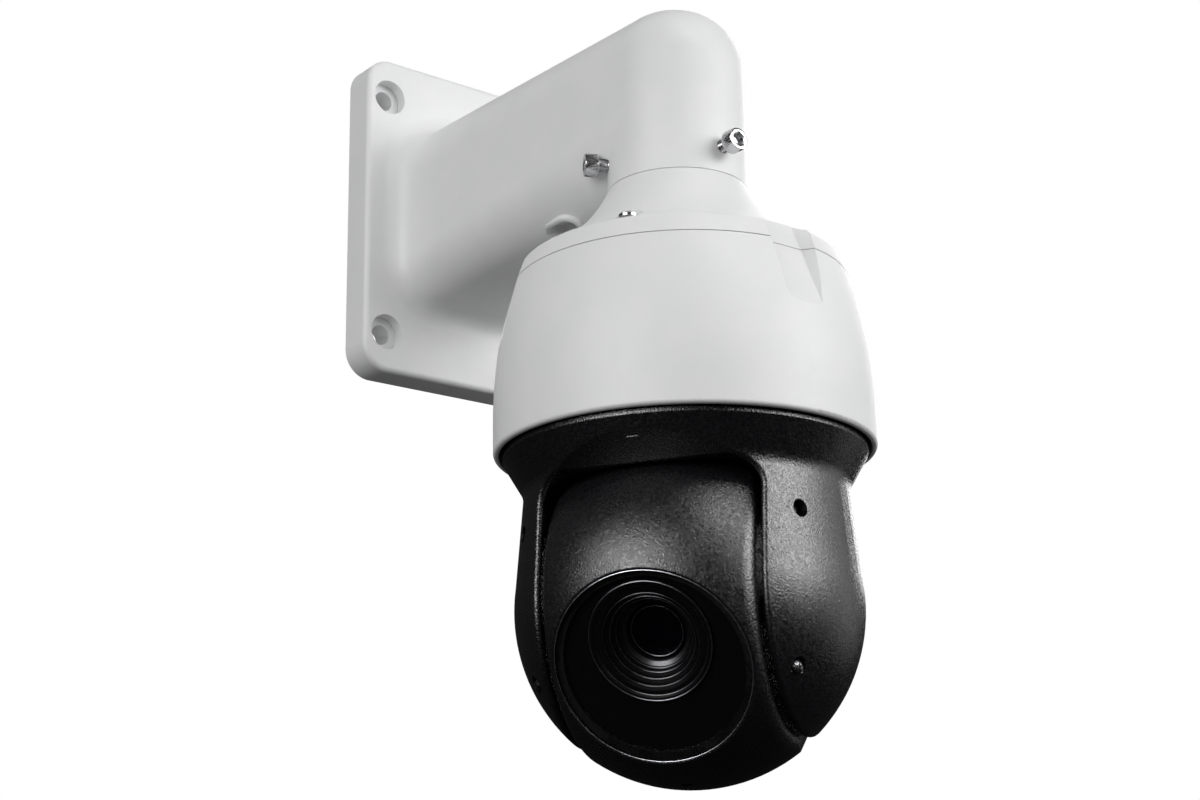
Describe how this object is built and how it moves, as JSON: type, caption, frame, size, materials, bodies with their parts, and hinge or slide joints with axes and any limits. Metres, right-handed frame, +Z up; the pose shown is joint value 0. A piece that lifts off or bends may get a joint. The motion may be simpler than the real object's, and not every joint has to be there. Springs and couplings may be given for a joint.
{
  "type": "pan-tilt-zoom security camera",
  "caption": "Wall-mounted pan-tilt-zoom security camera: white cast bracket and round housing, black turning yoke and tilting head with a round dark window.",
  "frame": {"origin": "centre of the wall plate's back face, at the centre of its four bolt holes", "axes": "+Y into the wall, +Z up, +X to the right as seen by someone facing the wall"},
  "size_m": [0.16, 0.25, 0.3638],
  "materials": {
    "white_coat": "satin fine-texture powder coat",
    "black_shell": "fine spark-eroded grain",
    "window": "polished, dark tinted",
    "stainless": "bright turned stainless steel",
    "bearing_steel": "ground and polished",
    "seal_rubber": "matte",
    "belt_rubber": "matte",
    "gland_plastic": "moulded",
    "alloy": "machined, clear anodised",
    "motor_steel": "black enamel",
    "bush_plastic": "acetal, natural",
    "circuit_board": "solder-masked laminate",
    "brass": "turned",
    "lens_black": "matte with fine turned ridges",
    "lens_glass": "coated optical glass"
  },
  "bodies": {
    "mount": {"wall_bracket": "white_coat", "neck_lock_screws": "stainless", "top_cover": "white_coat", "top_cover_screws": "stainless", "cover_seal": "seal_rubber", "cable_gland": "gland_plastic", "upper_housing": "white_coat", "dust_ring": "seal_rubber", "chassis_plate": "alloy", "chassis_screws": "stainless", "pan_motor": "motor_steel", "pan_motor_screws": "stainless", "pan_belt": "belt_rubber", "pan_bearing_outer_ring": "bearing_steel", "pan_bearing_balls": "bearing_steel", "slip_ring_stator": "gland_plastic", "main_board": "circuit_board", "board_standoffs": "brass", "board_screws": "stainless"},
    "pan_yoke": {"pan_pulley": "alloy", "pan_bearing_inner_ring": "bearing_steel", "pan_shaft": "alloy", "pan_shaft_screws": "stainless", "slip_ring_rotor": "gland_plastic", "yoke_shell": "black_shell", "yoke_shell_screws": "stainless", "yoke_frame": "alloy", "tilt_bush_left": "bush_plastic", "tilt_bush_right": "bush_plastic", "tilt_motor": "motor_steel", "tilt_belt": "belt_rubber", "ear_board": "circuit_board"},
    "pan_motor_rotor": {"pan_motor_pulley": "alloy", "pan_motor_shaft": "stainless"},
    "tilt_motor_rotor": {"tilt_motor_pulley": "alloy", "tilt_motor_shaft": "stainless"},
    "head": {"head_front_shell": "black_shell", "head_rear_shell": "black_shell", "head_screws": "stainless", "window_glass": "window", "window_gasket": "seal_rubber", "window_mask": "lens_black", "trunnion_left": "alloy", "trunnion_right": "alloy", "tilt_pulley": "alloy", "lens_barrel": "lens_black", "lens_hood": "lens_black", "front_lens": "lens_glass", "lens_guide_rods": "stainless", "camera_mount": "alloy", "sensor_board": "circuit_board", "vent_plug": "black_shell"},
    "zoom_group": {"zoom_carriage": "lens_black", "zoom_lens": "lens_glass"},
    "focus_group": {"focus_carriage": "lens_black", "focus_lens": "lens_glass"}
  },
  "joints": [
    {"name": "pan", "type": "hinge", "parent": "mount", "child": "pan_yoke", "pos_m": [0, -0.17, -0.1185], "axis": [0, 0, 1], "continuous": true},
    {"name": "pan_motor_spin", "type": "hinge", "parent": "mount", "child": "pan_motor_rotor", "pos_m": [0, -0.124, -0.1], "axis": [0, 0, 1], "continuous": true},
    {"name": "tilt", "type": "hinge", "parent": "pan_yoke", "child": "head", "pos_m": [0, -0.17, -0.2123], "axis": [0.5329, -0.8462, 0], "range_deg": [-46, 59]},
    {"name": "tilt_motor_spin", "type": "hinge", "parent": "pan_yoke", "child": "tilt_motor_rotor", "pos_m": [0, -0.17, -0.176], "axis": [0.5329, -0.8462, 0], "range_deg": [-138, 177]},
    {"name": "zoom", "type": "slide", "parent": "head", "child": "zoom_group", "axis": [-0.7253, -0.4568, -0.515], "range_m": [-0.003, 0.005]},
    {"name": "focus", "type": "slide", "parent": "head", "child": "focus_group", "axis": [-0.7253, -0.4568, -0.515], "range_m": [-0.0012, 0.001]}
  ],
  "couplings": [
    {"joint": "pan_motor_spin", "follows": "pan", "ratio": 3},
    {"joint": "tilt_motor_spin", "follows": "tilt", "ratio": 3}
  ]
}
